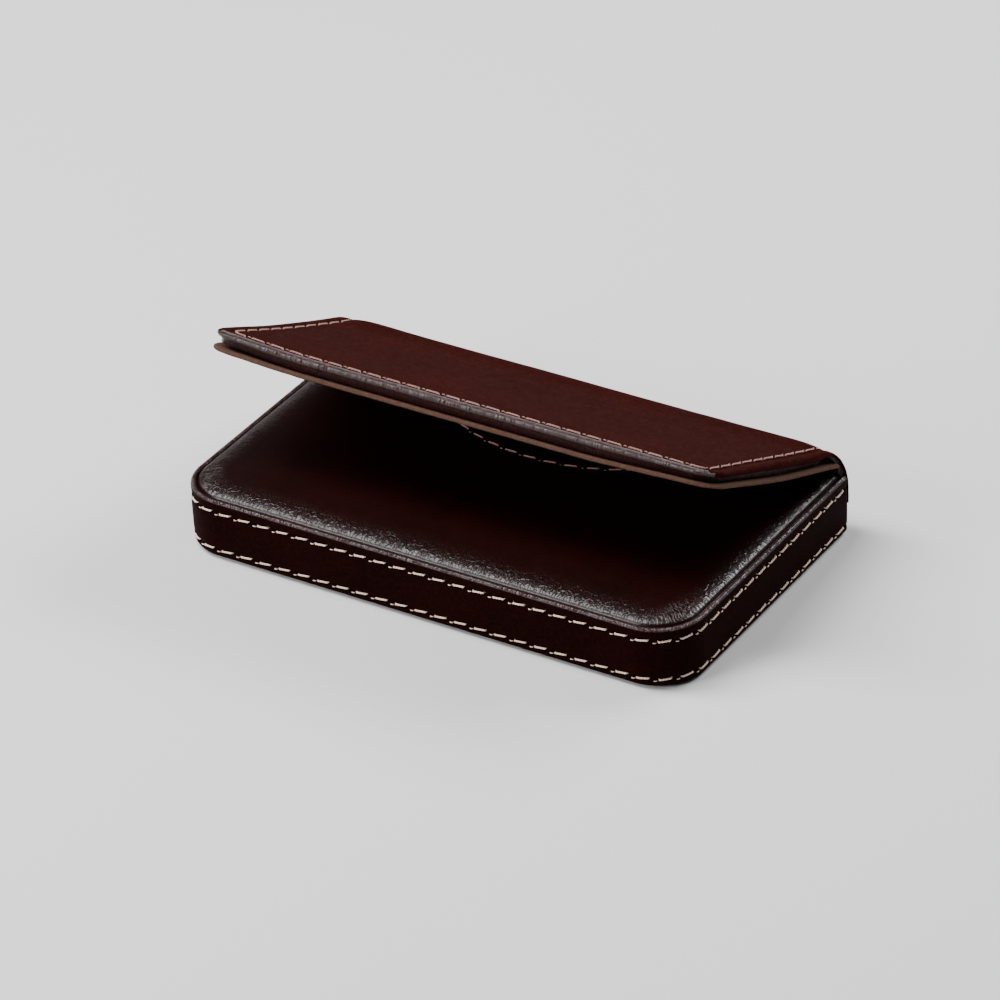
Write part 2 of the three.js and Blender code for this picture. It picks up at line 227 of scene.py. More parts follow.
# ------------------------------------------------------------------ materials
def nodes_of(name):
    """A new material, its node tree and its main shader."""
    m = bpy.data.materials.new(name)
    m.use_nodes = True
    tree = m.node_tree
    bsdf = next(n for n in tree.nodes if n.type == "BSDF_PRINCIPLED")
    return m, tree, bsdf


def node(tree, kind, inputs=(), **settings):
    """A new node. Its inputs are linked where a socket is given, and set otherwise."""
    n = tree.nodes.new(kind)
    for k, v in settings.items():
        setattr(n, k, v)
    for k, v in dict(inputs).items():
        if isinstance(v, bpy.types.NodeSocket):
            tree.links.new(v, n.inputs[k])
        else:
            n.inputs[k].default_value = v
    return n


def vector_times(tree, vector, factors, added=None):
    """The vector times the factors, part by part, plus another vector where one is given."""
    if added is None:
        return node(tree, "ShaderNodeVectorMath", {0: vector, 1: factors}, operation="MULTIPLY").outputs[0]
    inputs = {0: vector, 1: factors, 2: added}
    return node(tree, "ShaderNodeVectorMath", inputs, operation="MULTIPLY_ADD").outputs[0]


def object_mm(tree):
    """Object coordinates in millimetres."""
    tex = node(tree, "ShaderNodeTexCoord")
    return vector_times(tree, tex.outputs["Object"], (1000, 1000, 1000))


def noise(tree, where, scale, detail=3.0, rough=0.55):
    """Noise from 0 to 1. scale is in features per millimetre."""
    inputs = {"Vector": where, "Scale": scale, "Detail": detail, "Roughness": rough}
    return node(tree, "ShaderNodeTexNoise", inputs).outputs["Fac"]


def noise_vector(tree, where, scale):
    """Three noises from 0 to 1, to push texture coordinates about with."""
    return node(tree, "ShaderNodeTexNoise", {"Vector": where, "Scale": scale, "Detail": 2.0}).outputs["Color"]


def cell_edges(tree, where, scale, **settings):
    """The distance from the edges of a pattern of cells."""
    inputs = {"Vector": where, "Scale": scale}
    cells = node(tree, "ShaderNodeTexVoronoi", inputs, feature="DISTANCE_TO_EDGE", **settings)
    return cells.outputs["Distance"]


def ramp(tree, value, low, high, to_low=0.0, to_high=1.0):
    """Carry low to to_low and high to to_high, and hold the value beyond them."""
    inputs = {"Value": value, "From Min": low, "From Max": high, "To Min": to_low, "To Max": to_high}
    return node(tree, "ShaderNodeMapRange", inputs).outputs[0]


def mix_colour(tree, fac, a, b):
    n = node(tree, "ShaderNodeMix", data_type="RGBA")
    for socket, value in ((n.inputs[0], fac), (n.inputs[6], a), (n.inputs[7], b)):
        if isinstance(value, bpy.types.NodeSocket):
            tree.links.new(value, socket)
        else:
            socket.default_value = value if not isinstance(value, tuple) or len(value) == 4 else (*value, 1)
    return n.outputs[2]


def math_node(tree, op, a, b=0.0):
    return node(tree, "ShaderNodeMath", {0: a, 1: b}, operation=op).outputs[0]


def plus(tree, a, b):
    return math_node(tree, "ADD", a, b)


def times(tree, a, b):
    return math_node(tree, "MULTIPLY", a, b)


def bumped(tree, bsdf, height, depth_mm, strength):
    """Raise the surface by depth_mm for each unit of height."""
    bump = node(tree, "ShaderNodeBump", {"Height": height, "Distance": depth_mm * MM, "Strength": strength})
    tree.links.new(bump.outputs[0], bsdf.inputs["Normal"])


PAINTED_GLINT_COLOUR = (0.16, 0.07, 0.05)  # painted highlight: glints of light on the tops of the grain


def crease_height(tree, scale):
    """Fine cracked creases beside an edge, from the mesh's own distances along that edge and in from it."""
    attribute = node(tree, "ShaderNodeAttribute", attribute_name="seam_mm", attribute_type="GEOMETRY")
    seam = attribute.outputs["Vector"]
    swayed = vector_times(tree, noise_vector(tree, seam, 0.7), (1.5, 1.5, 0.0), seam)
    stretched = vector_times(tree, swayed, (1.5 * scale, 0.62 * scale, 1.0))
    cut = ramp(tree, cell_edges(tree, stretched, 1.0, voronoi_dimensions="2D"), 0.0, 0.2)
    across = node(tree, "ShaderNodeSeparateXYZ", {0: seam}).outputs[1]
    near = times(tree, ramp(tree, across, 0.05, 0.6), ramp(tree, across, 5.5, 2.8))
    return times(tree, cut, near)


def painted_glint_mask(tree, where):
    """Scattered small round spots, for painted glints of light on the grain."""
    dots = node(tree, "ShaderNodeTexVoronoi", {"Vector": where, "Scale": 3.2})
    picked = node(tree, "ShaderNodeSeparateColor", {0: dots.outputs["Color"]}).outputs[0]
    return times(tree, ramp(tree, dots.outputs["Distance"], 0.42, 0.1), ramp(tree, picked, 0.7, 0.98))


def leather(
    name, base, dark, light, rough,
    grain=1.1, grain_depth=0.05, painted_glints=0.0, creases=0.0, crease_scale=1.0, specular=0.5,
):
    """Coated leather: pebbled grain, finer pores, slow colour changes, paler streaks, and where asked for,
    paler specks of painted highlight for glints of light on the grain, and creases along an edge. grain is in
    pebbles per millimetre, grain_depth in millimetres."""
    m, tree, bsdf = nodes_of(name)
    where = object_mm(tree)
    bent = vector_times(tree, noise_vector(tree, where, 0.8), (0.9, 0.9, 0.9), where)
    pebble = ramp(tree, cell_edges(tree, bent, grain), 0.0, 0.22)
    pores = ramp(tree, cell_edges(tree, bent, grain * 2.7), 0.0, 0.16)
    fine = noise(tree, where, 4.5, 4.0, 0.65)
    height = plus(tree, times(tree, pebble, 0.5), times(tree, pores, 0.3))
    height = plus(tree, height, times(tree, fine, 0.45))
    if creases:
        height = plus(tree, height, times(tree, crease_height(tree, crease_scale), creases))
    bumped(tree, bsdf, height, grain_depth, 1.0)
    slow = noise(tree, where, 0.06, 4.0, 0.6)
    colour = mix_colour(tree, ramp(tree, slow, 0.35, 0.68), dark, base)
    streaks = noise(tree, bent, 1.2, 3.0, 0.65)
    colour = mix_colour(tree, ramp(tree, streaks, 0.44, 0.68, 0.0, 0.6), colour, light)
    # painted highlight: pale specks stand for glints of light on the grain's tops
    if painted_glints:
        colour = mix_colour(tree, times(tree, painted_glint_mask(tree, bent), painted_glints), colour, PAINTED_GLINT_COLOUR)
    tree.links.new(colour, bsdf.inputs["Base Color"])
    worn = noise(tree, where, 0.35, 3.0, 0.6)
    tree.links.new(ramp(tree, worn, 0.25, 0.75, rough, rough + 0.04), bsdf.inputs["Roughness"])
    bsdf.inputs["Specular IOR Level"].default_value = specular
    return m


def thread_material(name, colour, shade):
    """Spun thread: fine fibres, and slow changes of colour along the seam."""
    m, tree, bsdf = nodes_of(name)
    where = object_mm(tree)
    fibre = noise(tree, where, 9.0, 3.0, 0.7)
    slow = noise(tree, where, 0.25, 2.0)
    c = mix_colour(tree, ramp(tree, fibre, 0.3, 0.7), shade, colour)
    c = mix_colour(tree, ramp(tree, slow, 0.4, 0.7, 0.0, 0.45), c, tuple(v * 0.8 for v in colour))
    tree.links.new(c, bsdf.inputs["Base Color"])
    bumped(tree, bsdf, fibre, 0.05, 0.8)
    bsdf.inputs["Roughness"].default_value = 0.6
    bsdf.inputs["Sheen Weight"].default_value = 0.2
    return m


def cloth_material(name, colour, shade):
    """Thin woven cloth with a little fuzz."""
    threads_per_mm = 2.4
    m, tree, bsdf = nodes_of(name)
    where = object_mm(tree)
    split = node(tree, "ShaderNodeSeparateXYZ", {0: where})
    waves = [math_node(tree, "SINE", times(tree, split.outputs[k], threads_per_mm * math.pi)) for k in (0, 1)]
    height = plus(tree, times(tree, *waves), noise(tree, where, 3.0, 3.0))
    bumped(tree, bsdf, height, 0.05, 0.8)
    tree.links.new(mix_colour(tree, ramp(tree, height, -0.4, 1.2), shade, colour), bsdf.inputs["Base Color"])
    bsdf.inputs["Roughness"].default_value = 0.8
    return m


def board_material(name, colour, shade):
    """Matt matter made of fibres or cells."""
    m, tree, bsdf = nodes_of(name)
    where = object_mm(tree)
    fibre = noise(tree, where, 1.6, 6.0, 0.75)
    bumped(tree, bsdf, fibre, 0.08, 0.8)
    tree.links.new(mix_colour(tree, ramp(tree, fibre, 0.35, 0.65), shade, colour), bsdf.inputs["Base Color"])
    bsdf.inputs["Roughness"].default_value = 0.92
    bsdf.inputs["Specular IOR Level"].default_value = 0.08
    return m


def metal_material(name):
    """Brushed plated steel."""
    m, tree, bsdf = nodes_of(name)
    brushed = vector_times(tree, object_mm(tree), (0.4, 9.0, 4.0))
    lines = noise(tree, brushed, 1.0, 3.0)
    bsdf.inputs["Metallic"].default_value = 1.0
    colour = mix_colour(tree, lines, (0.42, 0.42, 0.43), (0.62, 0.62, 0.63))
    tree.links.new(colour, bsdf.inputs["Base Color"])
    tree.links.new(ramp(tree, lines, 0.3, 0.7, 0.28, 0.42), bsdf.inputs["Roughness"])
    return m


# each leather's ground colour, its darker and its paler patches, and its roughness
# the flap's leather carries painted highlights: pale specks for glints of light on its grain
FLAP_LEATHER = leather(
    "flap_leather", (0.018, 0.0012, 0.0006), (0.0125, 0.0008, 0.0004), (0.035, 0.0075, 0.0048), 0.66,
    grain=1.5, grain_depth=0.09, painted_glints=0.25, specular=0.007,
)
EDGE_LEATHER = leather(
    "edge_leather", (0.018, 0.0015, 0.0011), (0.012, 0.0010, 0.0008), (0.026, 0.0034, 0.0028), 0.34,
    grain=1.8, grain_depth=0.02, creases=4.0, crease_scale=1.8, specular=0.44,
)
EDGE_FADE_LEATHER = leather(
    "edge_fade_leather", (0.011, 0.0011, 0.0008), (0.008, 0.0008, 0.0006), (0.016, 0.0024, 0.0018), 0.46,
    grain=1.8, grain_depth=0.02, creases=2.4, crease_scale=2.0, specular=0.13,
)
DECK_LEATHER = leather(
    "deck_leather", (0.0075, 0.0004, 0.0002), (0.005, 0.0003, 0.0002), (0.010, 0.0010, 0.0007), 0.28,
    grain=1.1, grain_depth=0.012, creases=3.2, crease_scale=1.15, specular=0.28,
)
WALL_LEATHER = leather(
    "wall_leather", (0.0072, 0.0006, 0.0004), (0.0048, 0.0004, 0.0003), (0.013, 0.0018, 0.0012), 0.6,
    grain=1.2, grain_depth=0.035, specular=0.015,
)
INNER_LEATHER = leather(
    "inner_leather", (0.012, 0.005, 0.0042), (0.008, 0.0035, 0.003), (0.018, 0.008, 0.007), 0.6,
    grain=1.4, specular=0.15,
)
TAN_EDGE = board_material("tan_edge", (0.078, 0.041, 0.028), (0.045, 0.022, 0.015))
CREAM_THREAD = thread_material("cream_thread", (0.98, 0.82, 0.66), (0.60, 0.36, 0.22))
ROSE_THREAD = thread_material("rose_thread", (0.46, 0.25, 0.20), (0.17, 0.065, 0.05))
LINING = cloth_material("lining_cloth", (0.06, 0.066, 0.07), (0.032, 0.035, 0.038))
BOARD = board_material("greyboard_fibre", (0.30, 0.28, 0.25), (0.22, 0.2, 0.18))
FOAM = board_material("foam_cells", (0.05, 0.05, 0.055), (0.03, 0.03, 0.033))
MAGNET = metal_material("magnet_metal")

# ------------------------------------------------------------------ box: wall leather, rolled at the top
ROLL_RADIUS = 0.6
ROLL_CENTRE = (-0.62, 10.82)  # outward and z
FADE_Z, GLOSS_Z = 10.9, 11.1  # the rolled edge grows smoother from the first to the second
SEAM_DENT = 0.26  # how far a needle hole pulls the leather in
SEAM_PULL = 0.07  # and the thread between the holes
CREASE_Z = 9.0  # the roll's creases count their distance in from here

wall_path, wall_normal, wall_s = u_path(HALF, FRONT, REAR, CORNER, step=0.42, arc_step=0.34)
roll = [
    (ROLL_CENTRE[0] + ROLL_RADIUS * math.cos(a), ROLL_CENTRE[1] + ROLL_RADIUS * math.sin(a))
    for a in np.radians([12, 34, 56, 78, 100, 122, 144, 166, 190])
]
turned_under = [(-1.05, 0.5), (-2.6, 0.45), (-2.6, 0.05), (-1.5, 0.02)]
lower_edge = [(-0.75, 0.16), (-0.25, 0.5), (-0.04, 1.1)]
lower_seam_dip = [(-0.05, 1.55), (-0.09, LOWER_SEAM_Z), (-0.04, 2.1)]
bulging_wall = [(0.0, 2.8), (0.02, 4.5), (0.02, 6.6), (-0.02, 8.2)]
upper_seam_dip = [(-0.08, 8.9), (-0.14, UPPER_SEAM_Z), (-0.1, 9.55)]
below_roll = [(-0.05, 9.9), (-0.03, 10.3), (-0.02, 10.6)]
inside = [(-1.3, 10.2), (-1.12, 9.6), (-1.05, 9.3)]
outside = turned_under + lower_edge + lower_seam_dip + bulging_wall + upper_seam_dip + below_roll
wall_profile = smooth_curve(outside + roll + inside, step=0.15)
wall_grid = sweep(wall_path, wall_normal, wall_profile)


def stitch_starts(length, first=0.6, stitch=STITCH_LENGTH):
    """Where each stitch of a seam of that length begins."""
    count = int((length - 2 * first + STITCH_PITCH - stitch) // STITCH_PITCH)
    slack = length - 2 * first - (count * STITCH_PITCH - (STITCH_PITCH - stitch))
    return first + slack / 2 + STITCH_PITCH * np.arange(count)


# needle holes pull the leather in, and it bulges a little between the seams
starts = stitch_starts(wall_s[-1])
holes = np.concatenate([starts, starts + STITCH_LENGTH])
for seam_z in (UPPER_SEAM_Z, LOWER_SEAM_Z):
    dz = wall_grid[..., 2] - seam_z
    nearest = np.abs(wall_s[:, None] - holes[None, :]).min(1)[:, None]
    dent = SEAM_DENT * np.exp(-((nearest / 0.42) ** 2) - (dz / 0.36) ** 2)
    pull = SEAM_PULL * np.exp(-((dz / 0.5) ** 2))
    wall_grid[..., :2] -= (dent + pull)[..., None] * wall_normal[:, None, :]
drift = 0.035 * value_noise(wall_s[:, None] / 6, wall_grid[..., 2] / 4, 3)
drift = drift * ((wall_grid[..., 2] > 0.6) & (wall_grid[..., 2] < 10.2))
wall_grid[..., :2] += drift[..., None] * wall_normal[:, None, :]
n_path, n_profile = wall_grid.shape[:2]
wall_faces = list(grid_faces(n_path, n_profile, close_cols=True))
wall_faces += [tuple(range(n_profile))[::-1], tuple(range((n_path - 1) * n_profile, n_path * n_profile))]
wall_z = wall_grid[..., 2]
along_wall = np.broadcast_to(wall_s[:, None], wall_z.shape)
seam_mm = np.stack([along_wall, np.clip(wall_z - CREASE_Z, 0.6, 3), wall_z], -1)
flat_z = wall_z.ravel()
face_z = np.array([np.mean(flat_z[list(f)]) if len(f) == 4 else 0 for f in wall_faces])
on_roll = (face_z > FADE_Z).astype(int) + (face_z > GLOSS_Z)
wall = add_mesh(
    "wall_leather",
    wall_grid.reshape(-1, 3),
    wall_faces,
    [WALL_LEATHER, EDGE_FADE_LEATHER, EDGE_LEATHER],
    "box",
    {"seam_mm": seam_mm},
    on_roll,
)
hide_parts("side_band", "top_welt")


# ------------------------------------------------------------------ stitches
def tube(centre, up, radius, around=8):
    """Rings of a tube along a centre line, and the directions across and over it."""
    tangent = np.gradient(centre, axis=0)
    tangent /= np.linalg.norm(tangent, axis=1, keepdims=True)
    right = np.cross(tangent, up)
    right /= np.linalg.norm(right, axis=1, keepdims=True)
    over = np.cross(right, tangent)
    ang = np.linspace(0, 2 * np.pi, around, endpoint=False)
    across = right[:, None, :] * np.cos(ang)[None, :, None] + over[:, None, :] * np.sin(ang)[None, :, None]
    return centre[:, None, :] + radius[:, None, None] * across, right, over


STRANDS = 2  # in each thread
THREAD_TWIST = 2.4  # turns of the strands in one stitch
HOLE_DEPTH = 0.5  # how deep a stitch's ends dive
TAIL_RISE = np.array([-0.3, 0.0, 0.05, 0.04, 0.0, -0.3])  # of a tail's points over the leather


def stitch_mesh(name, spans, at, ups, sides, material, body, radius=0.125, lift=0.1, slant=0.14):
    """Twisted stitches. at(s), ups(s) and sides(s) give places and directions along the seam, and spans holds
    each stitch's start and end. It dives into its needle holes, and a short tail shows below the first."""
    verts, faces, first = [], [], 0
    rings, around = 31, 6

    def add(tube_rings):
        nonlocal first
        n = len(tube_rings)
        verts.append(tube_rings.reshape(-1, 3))
        faces.extend(grid_faces(n, around, first, close_cols=True, flip=True))
        faces.append(tuple(range(first, first + around)))
        faces.append(tuple(range(first + (n - 1) * around, first + n * around))[::-1])
        first += n * around

    t = np.linspace(0, 1, rings)
    for k, (s0, s1) in enumerate(spans):
        s = s0 + (s1 - s0) * t
        up, side = ups(s), sides(s)
        arch = smooth(t / 0.13) * smooth((1 - t) / 0.13)
        wobble = 0.07 * (hash_noise(np.array([k]), np.array([7]))[0] - 0.5)
        height = arch * (lift + HOLE_DEPTH) - HOLE_DEPTH
        aside = slant * (t - 0.5) * 2 + wobble
        middle = at(s) + up * height[:, None] + side * aside[:, None]
        thick = radius * (0.45 + 0.55 * arch)
        _, right, over = tube(middle, up, thick, around)
        for strand in range(STRANDS):
            phase = 2 * np.pi * (strand / STRANDS + THREAD_TWIST * t) + 1.7 * k
            turned = right * np.cos(phase)[:, None] + over * np.sin(phase)[:, None]
            add(tube(middle + 0.72 * thick[:, None] * turned, up, thick * 0.72, around)[0])
        tail_s = np.linspace(s0 - 0.78, s0 - 0.12, len(TAIL_RISE))
        rise = TAIL_RISE + lift * 0.5
        tail = at(tail_s) + ups(tail_s) * rise[:, None] - sides(tail_s) * (slant + 0.22)
        add(tube(tail, ups(tail_s), np.full(len(TAIL_RISE), radius * 0.6), around)[0])
    return add_mesh(name, np.vstack(verts), faces, material, body)


def along(path, s_path):
    """A function that gives the path's value at each distance s."""
    return lambda s: np.stack([np.interp(s, s_path, path[:, i]) for i in range(path.shape[1])], -1)


def at_height(path2d, z):
    """A flat path's points, all at height z."""
    return np.column_stack([path2d, np.full(len(path2d), z)])


def straight_up(s):
    return np.tile([0, 0, 1.0], (len(s), 1))


SEAM_SINK = 0.12  # the wall's threads lie this far inside its outer face
wall_spans = [(a, a + STITCH_LENGTH) for a in starts]
wall_outward = along(at_height(wall_normal, 0.0), wall_s)
for level, z in (("upper", UPPER_SEAM_Z), ("lower", LOWER_SEAM_Z)):
    seam_at_z = along(at_height(wall_path - SEAM_SINK * wall_normal, z), wall_s)
    seam = stitch_mesh(
        f"{level}_wall_stitches", wall_spans, seam_at_z, wall_outward, straight_up, CREAM_THREAD, "box"
    )
    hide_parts(f"{level}_wall_stitching")

# ------------------------------------------------------------------ box: padded deck with the thumb notch
DECK_RADIUS = CORNER - GROOVE
deck_path, deck_normal, deck_s = u_path(
    HALF - GROOVE, FRONT + GROOVE, DECK_REAR, DECK_RADIUS, step=0.42, arc_step=0.3, end_fine=1.0
)
share = deck_s / deck_s[-1]


def notch_path(grow, t):
    """The notch's half ellipse, grown outwards, from its left end round the front to its right end."""
    a = math.pi + math.pi * t
    return np.column_stack([(NOTCH_HALF + grow) * np.cos(a), DECK_REAR + (NOTCH_DEEP + grow) * np.sin(a)])


# rings of points run in from the deck's outline, then across it, then up to the notch
angle_share = 0.5 - 0.5 * np.cos(np.pi * share) * (1 - 0.25 * np.sin(np.pi * share) ** 2)
outer_rings = np.concatenate(
    [[0, 0.05, 0.14], np.arange(0.28, 5.2, 0.2), [5.5, 5.9, 6.4, 7.0, DECK_RADIUS - 0.05]]
)
inner_rings = np.array([4.5, 3.6, 3.0, 2.6, 2.25, 1.95, 1.6, 1.25, 0.9, 0.6, 0.35, 0.15, 0.0])
rows = [deck_path - d * deck_normal for d in outer_rings]
last, first_inner = rows[-1], notch_path(inner_rings[0], angle_share)
for t in np.linspace(0, 1, 26)[1:-1]:
    rows.append(last * (1 - t) + first_inner * t)
rows += [notch_path(g, angle_share) for g in inner_rings]
deck_xy = np.array(rows)
n_rows, n_cols = deck_xy.shape[:2]


def edge_distance(xy):
    """Distances in from the deck's outer edge, from the notch and from the rear edge."""
    x, y = np.abs(xy[..., 0]), xy[..., 1]
    half, front, r = HALF - GROOVE, FRONT + GROOVE, DECK_RADIUS
    cx, cy = half - r, front + r
    corner = r - np.hypot(np.maximum(x - cx, 0), np.maximum(cy - y, 0))
    outer = np.where((x > cx) & (y < cy), corner, np.minimum(half - x, y - front))
    k = np.hypot(xy[..., 0] / NOTCH_HALF, (xy[..., 1] - DECK_REAR) / NOTCH_DEEP)
    notch = (k - 1) * np.hypot(xy[..., 0], xy[..., 1] - DECK_REAR) / np.maximum(k, 1e-6)
    return outer, notch, DECK_REAR - y


def round_in(d, width):
    """A quarter circle's height, from 0 at the edge to 1 at width in from it."""
    t = np.clip(d / width, 0, 1)
    return np.sqrt(np.clip(1 - (1 - t) ** 2, 0, 1))


d_out, d_notch, d_rear = edge_distance(deck_xy)
pad_curve = smooth_curve(PAD_PROFILE, 0.05)
crown = np.interp(d_out, pad_curve[:, 0], pad_curve[:, 1])
crown = crown * (0.35 + 0.65 * round_in(d_notch, 1.1)) * (0.35 + 0.65 * round_in(d_rear, 1.1))
seam_dip = 0.16 * np.exp(-(((d_notch - NOTCH_SEAM_INSET) / 0.55) ** 2))
z = GROOVE_Z + crown - seam_dip * (d_rear > 0.4)

# fine wrinkles run in from the edge, and the middle is a little uneven
edge_mask = np.clip(d_out / 0.5, 0, 1) * np.exp(-((np.maximum(d_out - 1.2, 0) / 2.6) ** 2))
wander = value_noise(deck_s[None, :] / 5.5, d_out / 3.0, 11)
broad = value_noise((deck_s[None, :] + 1.3 * wander) / 0.85, d_out / 4.2, 5)
narrow = value_noise((deck_s[None, :] - 0.9 * wander) / 0.45, d_out / 2.4, 9)
uneven = value_noise(deck_xy[..., 0] / 7, deck_xy[..., 1] / 7, 2)
z = z + 0.024 * edge_mask * (broad * 0.6 + 0.4 * narrow) + 0.012 * uneven
grid = np.dstack([deck_xy, z[..., None]])

# the leather turns down all round: into the groove, and deeper at the notch and the rear
GROOVE_TURN = 0.6
SKIRT_DROPS = (0.35, 0.9, 1.0)  # parts of the way down
loop = walk_border(n_rows, n_cols)
rim = np.array([grid[r, c] for r, c in loop])
in_groove = np.array([r == 0 for r, c in loop])
deck_verts = [grid.reshape(-1, 3)]
deck_faces = list(grid_faces(n_rows, n_cols, flip=True))
count = n_rows * n_cols
ids = np.array([r * n_cols + c for r, c in loop])
for drop in SKIRT_DROPS:
    low = rim.copy()
    depth = np.where(in_groove, -GROOVE_TURN, DECK_UNDERSIDE - rim[:, 2])
    low[:, 2] = rim[:, 2] + depth * drop
    previous, ids = ids, count + np.arange(len(loop))
    deck_verts.append(low)
    deck_faces += list(np.stack([previous, np.roll(previous, -1), np.roll(ids, -1), ids], -1))
    count += len(loop)
deck_verts = np.vstack(deck_verts)
from_edge = edge_distance(deck_verts[:, :2])[0]
rim_s = np.array([deck_s[c] for r, c in loop])
along_deck = np.concatenate([np.tile(deck_s, n_rows)] + [rim_s] * len(SKIRT_DROPS))
seam_mm = np.stack([along_deck, from_edge, 0 * from_edge], -1)
deck = add_mesh("padded_deck", deck_verts, deck_faces, DECK_LEATHER, "box", {"seam_mm": seam_mm})
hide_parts("deck_leather")

seam_xy = notch_path(NOTCH_SEAM_INSET, np.linspace(0, 1, 400))
seam_xy = seam_xy[seam_xy[:, 1] < DECK_REAR - 1.2]
seam_len = distances(seam_xy)
seam_normal = np.gradient(seam_xy, axis=0)
seam_normal = np.column_stack([-seam_normal[:, 1], seam_normal[:, 0]])
seam_normal /= np.linalg.norm(seam_normal, axis=1, keepdims=True)
notch_seam = stitch_mesh(
    "notch_stitches",
    [(a, a + STITCH_LENGTH) for a in stitch_starts(seam_len[-1])],
    along(at_height(seam_xy, DECK_TOP - 0.13), seam_len),
    straight_up,
    along(at_height(seam_normal, 0.0), seam_len),
    ROSE_THREAD,
    "box",
    lift=0.08,
)
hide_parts("notch_stitching")

# ------------------------------------------------------------------ outer leather: flap, bend, spine, bottom
forward = np.array([-math.cos(OPEN), math.sin(OPEN)])
flap_out = np.array([math.sin(OPEN), math.cos(OPEN)])
FLAP_RISE = 0.5  # the flap's outer face over the fold line
BEND_START = 7.2  # the flap is straight down to this distance from the fold line


def board_sag(from_fold):
    """The flap's board is bent in a little over its length."""
    return -0.22 * np.sin(np.pi * np.clip((from_fold - 7) / 42, 0, 1))


def sheet_line():
    """The outer surface of flap, spine and bottom as a line in y and z, from the flap's front edge, and the
    numbers of the points where the bend, the spine, the lower bend and the bottom begin."""
    d = np.arange(FLAP_LENGTH, BEND_START, -0.4)
    sag = board_sag(d) - 0.42 * smooth((34 - d) / 27)
    plane = FOLD + d[:, None] * forward + (FLAP_RISE + sag)[:, None] * flap_out
    a, b = plane[-1], plane[-1] - plane[-2]
    b /= np.linalg.norm(b)
    reach = (SPINE_Y - a[0]) / b[0]
    top = np.array([SPINE_Y, (a + b * reach)[1] - reach])
    t = np.linspace(0, 1, 26)[1:, None]
    h0, h1 = a + b * reach * 0.56, top + np.array([0, reach * 0.56])
    bend = a * (1 - t) ** 3 + 3 * h0 * t * (1 - t) ** 2 + 3 * h1 * t**2 * (1 - t) + top * t**3
    r = LOWER_BEND
    spine = np.array([(SPINE_Y, v) for v in spaced(top[1], r, 0.35)[1:]])
    ang = np.linspace(0, -math.pi / 2, 12)[1:]
    lower = np.column_stack([SPINE_Y - r + r * np.cos(ang), r + r * np.sin(ang)])
    bottom = np.array([(v, 0.0) for v in np.arange(SPINE_Y - r - 0.4, FRONT + 1.1, -0.8)])
    parts = [plane, bend, spine, lower, bottom]
    return np.vstack(parts), np.cumsum([len(part) for part in parts])[:-1]


line, (i_bend, i_spine, i_lower, i_bottom) = sheet_line()
tangent = np.gradient(line, axis=0)
tangent /= np.linalg.norm(tangent, axis=1, keepdims=True)
outward = np.column_stack([-tangent[:, 1], tangent[:, 0]])
line_s = distances(line)
sheet_length = line_s[-1]
s_split = line_s[i_spine + (i_lower - i_spine) // 2]  # the leather's two meshes meet here, on the spine


def place(x, s, h):
    """Points at distance s along the sheet, x across it and h out from its outer surface."""
    y = np.interp(s, line_s, line[:, 0])
    z = np.interp(s, line_s, line[:, 1])
    ny = np.interp(s, line_s, outward[:, 0])
    nz = np.interp(s, line_s, outward[:, 1])
    n = np.hypot(ny, nz)
    h = h + CORNER_LIFT * (1 - smooth((FLAP_HALF + x) / 20)) * (1 - smooth(s / 24))
    return np.stack([np.asarray(x) + 0 * y, y + h * ny / n, z + h * nz / n], -1)


def rounded_sheet(half, s0, s1, radius, rings, top, bottom, step=0.8):
    """A sheet with rounded corners at s0 and a straight end at s1, as a closed mesh before it is bent. Gives
    x, s, height and inset of each point, and the faces. rings are (inset, height) from the underside round
    the edge to the top, and top and bottom are the heights of the faces inside them."""
    xs, ss = spaced(-half + radius, half - radius, step), spaced(s0 + radius, s1, step)
    left, right, front = -half + radius, half - radius, s0 + radius
    turn = [(math.cos(a), math.sin(a)) for a in np.linspace(0, math.pi / 2, 9)[1:]]
    track = [((left, s), (-1, 0)) for s in ss[::-1]]
    track += [((left, front), (-c, -d)) for c, d in turn]
    track += [((x, front), (0, -1)) for x in xs[1:]]
    track += [((right, front), (d, -c)) for c, d in turn]
    track += [((right, s), (1, 0)) for s in ss[1:]]
    path, normal = (np.array(column, float) for column in zip(*track))
    out = []
    for inset, height in rings:
        q = path + normal * (radius - inset)
        out.append(np.column_stack([q, np.full(len(q), height), np.full(len(q), inset)]))
    ring_count, n = len(out), len(path)
    faces = list(grid_faces(ring_count, n))
    verts = [np.vstack(out)]
    first = ring_count * n
    gx, gs = np.meshgrid(xs, ss, indexing="ij")
    inset = np.minimum(half - np.abs(gx), gs - s0)
    for height, flip in ((bottom, True), (top, False)):
        verts.append(np.column_stack([gx.ravel(), gs.ravel(), np.full(gx.size, height), inset.ravel()]))
        faces += list(grid_faces(len(xs), len(ss), first, flip=not flip))
        first += gx.size
    # the straight end at s1
    end_low, end_high = ring_count * n, ring_count * n + gx.size
    columns = len(ss) - 1 + np.arange(len(xs)) * len(ss)
    low, high = end_low + columns, end_high + columns
    faces += [(low[i], low[i + 1], high[i + 1], high[i]) for i in range(len(xs) - 1)]
    faces.append(tuple(r * n for r in range(ring_count)))
    faces.append(tuple(r * n + n - 1 for r in range(ring_count))[::-1])
    return np.vstack(verts), faces


